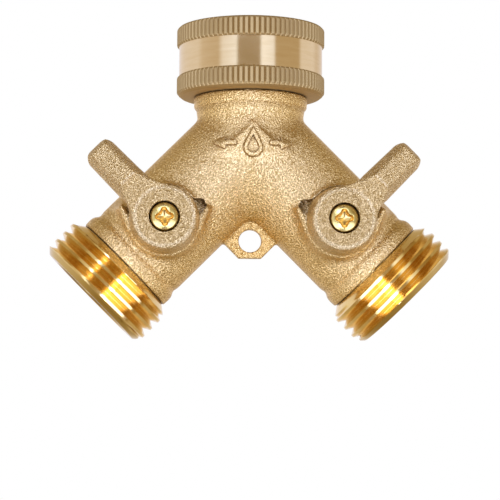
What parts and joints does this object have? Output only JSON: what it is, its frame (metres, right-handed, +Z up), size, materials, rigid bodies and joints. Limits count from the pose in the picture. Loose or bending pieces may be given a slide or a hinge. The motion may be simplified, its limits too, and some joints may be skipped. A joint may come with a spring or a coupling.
{
  "type": "hose splitter",
  "caption": "Cast brass Y-shaped garden hose splitter: swivel nut inlet and two hose-thread outlets, each with its own lever ball valve.",
  "frame": {"origin": "middle of the flat edge under the hanging tab, on the inlet axis; the inlet axis meets both leg axes 23.8 mm above it", "axes": "+Z up the inlet axis and out of the nut, +X towards the right outlet with the levers facing the viewer, levers on the -Y side"},
  "size_m": [0.0828, 0.0361, 0.0653],
  "materials": {
    "cast_brass": "sandblasted pale brass casting with a fine grain",
    "turned_brass": "satin turned pale brass",
    "bright_brass": "polished deep yellow brass",
    "screw_brass": "bright yellow brass",
    "spring_steel": "plain spring wire",
    "chromed_ball": "polished chrome",
    "white_ptfe": "waxy white PTFE",
    "black_rubber": "matt black rubber"
  },
  "bodies": {
    "body": {"body_casting": "cast_brass", "nut_snap_ring": "spring_steel", "left_outlet_nipple": "bright_brass", "left_nipple_o_ring": "black_rubber", "left_inner_seat": "white_ptfe", "left_outer_seat": "white_ptfe", "right_outlet_nipple": "bright_brass", "right_nipple_o_ring": "black_rubber", "right_inner_seat": "white_ptfe", "right_outer_seat": "white_ptfe"},
    "nut": {"swivel_nut": "turned_brass", "inlet_washer": "black_rubber"},
    "left_valve": {"left_lever": "cast_brass", "left_lever_screw": "screw_brass", "left_stem": "turned_brass", "left_stem_thrust_washer": "white_ptfe", "left_stem_o_ring_inner": "black_rubber", "left_stem_o_ring_outer": "black_rubber", "left_ball": "chromed_ball"},
    "right_valve": {"right_lever": "cast_brass", "right_lever_screw": "screw_brass", "right_stem": "turned_brass", "right_stem_thrust_washer": "white_ptfe", "right_stem_o_ring_inner": "black_rubber", "right_stem_o_ring_outer": "black_rubber", "right_ball": "chromed_ball"}
  },
  "joints": [
    {"name": "nut_swivel", "type": "hinge", "parent": "body", "child": "nut", "pos_m": [0, 0, 0.0401], "axis": [0, 0, 1], "continuous": true},
    {"name": "left_lever_turn", "type": "hinge", "parent": "body", "child": "left_valve", "pos_m": [-0.01789, 0, 0.00671], "axis": [0, 1, 0], "range_deg": [0, 90]},
    {"name": "right_lever_turn", "type": "hinge", "parent": "body", "child": "right_valve", "pos_m": [0.01789, 0, 0.00671], "axis": [0, -1, 0], "range_deg": [0, 90]}
  ]
}
